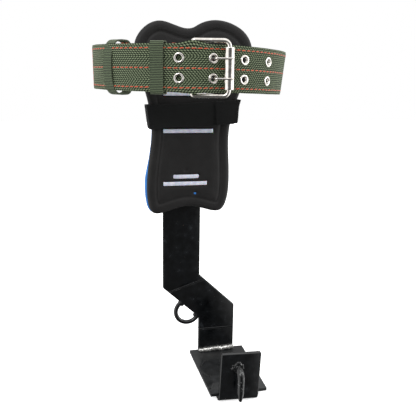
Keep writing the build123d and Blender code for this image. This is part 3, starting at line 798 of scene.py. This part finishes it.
def thread_material():
    """Bonded polyester thread: satin, its colour varying with the twist."""
    material, tree, shader = new_material("orange_red_bonded_thread", Roughness=0.6, Sheen_Weight=0.3)
    place = add_node(tree, "ShaderNodeTexCoord").outputs["Object"]
    twist = add_node(tree, "ShaderNodeTexNoise", {"Vector": place, "Scale": 1 / (0.9 * MM), "Detail": 2.0})
    tint = add_node(
        tree, "ShaderNodeValToRGB", {"Fac": twist.outputs["Fac"]}, stops=((0.3, "#a8351a"), (0.7, "#dc5a2a"))
    )
    tree.links.new(tint.outputs["Color"], shader.inputs["Base Color"])
    bump = add_node(tree, "ShaderNodeBump", {"Height": twist.outputs["Fac"], "Strength": 0.5, "Distance": 0.2 * MM})
    tree.links.new(bump.outputs["Normal"], shader.inputs["Normal"])
    return material


orange_thread = thread_material()
stitch_length, stitch_pitch, stitch_width, stitch_height = 5.6 * MM, 6.3 * MM, 1.3 * MM, 0.7 * MM
stitch_slant = math.radians(5)
proud = webbing_thickness / 2 - 0.05 * MM


def stitch_row(start, count, level, face, vertical=False):
    """A row of stitches on the flat strap: one rounded stitch, repeated by an Array modifier."""
    bpy.ops.mesh.primitive_uv_sphere_add(segments=8, ring_count=5, radius=0.5, location=(start, face, level))
    stitch = bpy.context.object
    stitch.scale = (stitch_length, stitch_height, stitch_width)
    if vertical:
        stitch.scale = (stitch_width, stitch_height, stitch_length)
    stitch.rotation_euler.y = stitch_slant
    bpy.ops.object.transform_apply(location=True, rotation=True, scale=True)
    step = (0, 0, stitch_pitch) if vertical else (stitch_pitch, 0, 0)
    finish_modifier(
        stitch, "ARRAY", count=count, use_relative_offset=False, use_constant_offset=True, constant_offset_displace=step
    )
    return stitch


main_first = place_along(-11, main_radius, 60 * MM)
row_count = int((strap_length - main_first) / stitch_pitch)
rows = []
for level in (-20 * MM, 0, 20 * MM):
    for face in (-proud, proud):
        rows.append(stitch_row(main_first + stitch_pitch / 2, row_count, level, face))
rows.append(stitch_row(strap_length - 2.2 * MM, 7, -19 * MM, proud, vertical=True))
for angle in (-19, -49):
    along_main = place_along(angle, main_radius, 60 * MM)
    rows.append(stitch_row(along_main - 2 * MM, 2, 24.6 * MM, 0))
for row in rows:
    for vertex in row.data.vertices:
        vertex.co.z += 0.25 * MM * noise.noise(Vector((vertex.co.x * 90, vertex.co.z * 10, 3)))
pick(*rows)
bpy.ops.object.join()
stitching = bpy.context.object
lay_on_loop(stitching)
pick(stitching)
bpy.ops.object.shade_smooth()
seat(stitching, "belt_stitching", "spur", orange_thread)


# ---------------------------------------------------------------- eyelets
# Two-part brass eyelets, bright nickel plated: a rolled rim 11 mm across, a barrel through the
# webbing, and a washer clenched behind.


def nickel_material():
    """Bright nickel plate, polished: mirror-like and slightly warm, with handling haze and fine marks."""
    material, tree, shader = new_material("bright_nickel_plate", Metallic=1.0)
    place = add_node(tree, "ShaderNodeTexCoord").outputs["Object"]
    haze = add_node(tree, "ShaderNodeTexNoise", {"Vector": place, "Scale": 1 / (4 * MM), "Detail": 5.0})
    tint = add_node(
        tree, "ShaderNodeValToRGB", {"Fac": haze.outputs["Fac"]}, stops=((0.3, "#cfc9c0"), (0.7, "#f1eee9"))
    )
    tree.links.new(tint.outputs["Color"], shader.inputs["Base Color"])
    rough = add_node(
        tree, "ShaderNodeMapRange",
        {"Value": haze.outputs["Fac"], "From Min": 0.3, "From Max": 0.75, "To Min": 0.07, "To Max": 0.24},
    )
    tree.links.new(rough.outputs["Result"], shader.inputs["Roughness"])
    scratches = add_node(tree, "ShaderNodeTexNoise", {"Vector": place, "Scale": 1 / (1.2 * MM), "Detail": 2.0})
    bump = add_node(
        tree, "ShaderNodeBump", {"Height": scratches.outputs["Fac"], "Strength": 0.06, "Distance": 0.1 * MM}
    )
    tree.links.new(bump.outputs["Normal"], shader.inputs["Normal"])
    return material


nickel = nickel_material()
rims = []
for place in eyelet_places:
    for side in (-1, 1):
        rise = side * eyelet_rise
        bpy.ops.mesh.primitive_torus_add(
            major_segments=32, minor_segments=10, major_radius=4.35 * MM, minor_radius=1.15 * MM,
            location=(place, webbing_thickness / 2 + 0.25 * MM, rise), rotation=across_strap,
        )
        rim = bpy.context.object
        rim.scale = (1, 1, 0.62)
        bpy.ops.object.transform_apply(location=True, rotation=True, scale=True)
        bpy.ops.mesh.primitive_cylinder_add(
            vertices=32, radius=3.5 * MM, depth=2.6 * MM, end_fill_type="NOTHING", location=(place, 0, rise),
            rotation=across_strap,
        )
        barrel = bpy.context.object
        finish_modifier(barrel, "SOLIDIFY", thickness=0.35 * MM, offset=1)
        bpy.ops.mesh.primitive_torus_add(
            major_segments=32, minor_segments=6, major_radius=4.1 * MM, minor_radius=0.8 * MM,
            location=(place, -webbing_thickness / 2 - 0.02 * MM, rise), rotation=across_strap,
        )
        washer = bpy.context.object
        washer.scale = (1, 1, 0.3)
        pick(rim, barrel, washer)
        bpy.ops.object.transform_apply(location=True, rotation=True, scale=True)
        bpy.ops.object.join()
        rims.append(bpy.context.object)
pick(*rims)
bpy.ops.object.join()
eyelets = bpy.context.object
lay_on_loop(eyelets)
pick(eyelets)
bpy.ops.object.shade_smooth()
seat(eyelets, "belt_eyelets_rolled", "spur", nickel, ["belt_eyelets"])


# ---------------------------------------------------------------- roller buckle
# Frame and prongs of bright nickel-plated wire, the frame butt joined under the belt, and a loose
# rolled tube on its right-hand bar that lets the strap run.

for metal_node in ("buckle_frame", "buckle_roller", "buckle_prong_upper", "buckle_prong_lower"):
    nodes[metal_node].data.materials.clear()
    nodes[metal_node].data.materials.append(nickel)


# ---------------------------------------------------------------- keepers
# Loops of ribbed narrow webbing in the belt's green, 15 and 13 mm wide. The one by the buckle is sewn
# tight; the other is loose and stands away from the belt on the inside.


def keeper_cloth():
    """Cotton and nylon tape: matt and slightly furry, with ribs across it 1.7 mm apart,
    their grooves darkened with painted shade.
    """
    material, tree, shader = new_material("green_ribbed_keeper_webbing", Roughness=0.85, Sheen_Weight=0.35)
    shader.inputs["Sheen Tint"].default_value = linear("#cfd8bf")
    weave = add_node(tree, "ShaderNodeUVMap", uv_map="UVMap").outputs["UV"]
    split = add_node(tree, "ShaderNodeSeparateXYZ", {"Vector": weave})
    turn = add_node(tree, "ShaderNodeMath", {0: split.outputs["X"], 1: 2 * math.pi / 1.7}, operation="MULTIPLY")
    rib = add_node(tree, "ShaderNodeMath", {0: turn.outputs["Value"]}, operation="SINE")
    height = add_node(tree, "ShaderNodeMapRange", {"Value": rib.outputs["Value"], "From Min": -1.0, "From Max": 1.0})
    fluff = add_node(tree, "ShaderNodeTexNoise", {"Vector": weave, "Scale": 1.3, "Detail": 4.0})
    weave_height_and_shade = add_node(tree, "ShaderNodeMix", {"Factor": 0.35, "A": height.outputs["Result"], "B": fluff.outputs["Fac"]})
    # The ramp follows the ribs' height: the first, near-black colour is painted shade in the grooves; the others are
    # the tape's own greens.
    tint = add_node(
        tree, "ShaderNodeValToRGB", {"Fac": weave_height_and_shade.outputs["Result"]},
        stops=((0.25, "#0a1107"), (0.5, "#222e1a"), (0.78, "#5f6d50")),
    )
    tree.links.new(tint.outputs["Color"], shader.inputs["Base Color"])
    bump = add_node(tree, "ShaderNodeBump", {"Height": weave_height_and_shade.outputs["Result"], "Strength": 0.8, "Distance": 0.5 * MM})
    tree.links.new(bump.outputs["Normal"], shader.inputs["Normal"])
    return material


ribbed_green = keeper_cloth()


def keeper(node, name, angle, width, depth, height, rounding, bow, turn_out, body):
    """A strip of webbing closed into a loop round the belt's layers, bowed and turned to face out.
    A smaller rounding gives a squarer loop."""
    outside = tail_radius + webbing_thickness / 2 + 0.9 * MM
    thickness = 1.6 * MM
    count = 240
    loop = []
    for i in range(count + 1):
        turn = 2 * math.pi * i / count
        across = math.copysign(abs(math.cos(turn)) ** rounding, math.cos(turn))
        up = math.copysign(abs(math.sin(turn)) ** rounding, math.sin(turn))
        loop.append((across * (depth / 2 + thickness / 2), up * (height / 2 + thickness / 2)))
    loop = np.array(loop)
    length_at = np.concatenate(([0.0], np.cumsum(np.hypot(*np.diff(loop, axis=0).T))))
    strip = flat_strip(length_at[-1], width, thickness, 1.2 * MM, 8)
    x, y = loop_point(angle, outside - depth / 2 + thickness / 2)
    inward = Vector((loop_centre.x - x, loop_centre.y - y, 0)).normalized()
    sideways = Vector((-inward.y, inward.x, 0))
    twist = Matrix.Rotation(math.radians(turn_out), 3, "Z")
    middle_place = Vector((x, y, belt_level))
    for vertex in strip.data.vertices:
        along, out, side = vertex.co
        along = min(max(along, 0.0), length_at[-1])
        here, ahead, before = (
            Vector([np.interp(at, length_at, loop[:, k]) for k in (0, 1)])
            for at in (along, (along + 0.2 * MM) % length_at[-1], (along - 0.2 * MM) % length_at[-1])
        )
        loop_heading = (ahead - before).normalized()
        normal = Vector((loop_heading.y, -loop_heading.x))
        flat = here + normal * out
        tilt = bow * (flat.y / (height / 2)) ** 2
        offset = inward * flat.x + Vector((0, 0, flat.y)) + sideways * (side + tilt)
        vertex.co = middle_place + twist @ offset
    pick(strip)
    bpy.ops.object.mode_set(mode="EDIT")
    bpy.ops.mesh.select_all(action="SELECT")
    bpy.ops.mesh.remove_doubles(threshold=0.15 * MM)
    bpy.ops.mesh.normals_make_consistent(inside=False)
    bpy.ops.object.mode_set(mode="OBJECT")
    bpy.ops.object.shade_smooth_by_angle(angle=math.radians(60))
    return seat(strip, name, body, ribbed_green, [node])


keeper("keeper_fixed", "keeper_sewn", -28.8, 14.4 * MM, 10.2 * MM, 51.6 * MM, 0.22, 0.0, 0, "spur")
keeper("keeper_sliding", "keeper_loose", -62, 12.6 * MM, 29 * MM, 56.4 * MM, 0.55, -3 * MM, 12, "sliding_keeper")


# ---------------------------------------------------------------- studio
# A white card under the spur in a white room, brighter at the sides and above than in front. There is a
# soft light to the left and another to the right, and the camera looks down from the belt's height.

floor_level = cad_box[0][2]
bpy.ops.mesh.primitive_plane_add(size=8, location=(0, 0, floor_level))
floor = bpy.context.object
floor.name = "studio_floor"
floor.visible_glossy = False
floor.visible_diffuse = False
white_card, _, card_shader = new_material(
    "white_studio_card", Roughness=0.95, Specular_IOR_Level=0.0, Emission_Strength=0.6
)
card_shader.inputs["Base Color"].default_value = linear("#fbfbfb")
card_shader.inputs["Emission Color"].default_value = (1, 1, 1, 1)
floor.data.materials.append(white_card)

world = bpy.data.worlds.new("white_room")
bpy.context.scene.world = world
world.use_nodes = True
room = world.node_tree
seen = add_node(room, "ShaderNodeLightPath").outputs["Is Camera Ray"]
direction = add_node(room, "ShaderNodeTexCoord").outputs["Generated"]
sides = add_node(room, "ShaderNodeSeparateXYZ", {"Vector": direction})
sideways = add_node(room, "ShaderNodeMath", {0: sides.outputs["X"]}, operation="ABSOLUTE")
walls = add_node(
    room, "ShaderNodeMapRange",
    {"Value": sideways.outputs["Value"], "From Min": 0.35, "From Max": 0.85, "To Min": 0.12, "To Max": 1.5},
    interpolation_type="SMOOTHSTEP",
)
ceiling = add_node(
    room, "ShaderNodeMapRange",
    {"Value": sides.outputs["Z"], "From Min": 0.15, "From Max": 0.7, "To Min": 0.0, "To Max": 1.35},
    interpolation_type="SMOOTHSTEP",
)
lit = add_node(room, "ShaderNodeMath", {0: walls.outputs["Result"], 1: ceiling.outputs["Result"]}, operation="MAXIMUM")
strength = add_node(room, "ShaderNodeMix", {"Factor": seen, "A": lit.outputs["Value"], "B": 1.0})
room.nodes["Background"].inputs["Color"].default_value = (1, 1, 1, 1)
room.links.new(strength.outputs["Result"], room.nodes["Background"].inputs["Strength"])


def soft_light(name, place, aim, size, power):
    """A square area light, in metres and watts, turned to its aim."""
    bpy.ops.object.light_add(type="AREA", location=place)
    light = bpy.context.object
    light.name = name
    light.data.size = size
    light.data.energy = power
    light.rotation_euler = (Vector(aim) - Vector(place)).to_track_quat("-Z", "Y").to_euler()


soft_light("key_left", (-0.75, -1.0, 1.0), (-0.04, 0, 0.25), 0.5, 7)
soft_light("edge_right", (1.1, -0.35, 0.5), (-0.04, 0, 0.2), 0.5, 4)

camera_place = Vector((-0.192, -0.675, 0.384))
camera_yaw, camera_pitch, camera_roll = (math.radians(angle) for angle in (-13.5, 13.2, 0.9))
focal_pixels, frame_pixels, sensor = 578, 416, 36
level_ahead = Vector((-math.sin(camera_yaw), math.cos(camera_yaw), 0))
level_right = Vector((math.cos(camera_yaw), math.sin(camera_yaw), 0))
up = Vector((0, 0, 1))
ahead = level_ahead * math.cos(camera_pitch) - up * math.sin(camera_pitch)
over = up * math.cos(camera_pitch) + level_ahead * math.sin(camera_pitch)
right = level_right * math.cos(camera_roll) + over * math.sin(camera_roll)
over = over * math.cos(camera_roll) - level_right * math.sin(camera_roll)
bpy.ops.object.camera_add(location=camera_place)
camera = bpy.context.object
camera.name = "camera"
camera.matrix_world = Matrix.Translation(camera_place) @ Matrix((right, over, -ahead)).transposed().to_4x4()
camera.data.sensor_width = sensor
camera.data.lens = focal_pixels / frame_pixels * sensor
bpy.context.scene.camera = camera
bpy.context.scene.view_settings.view_transform = "Standard"
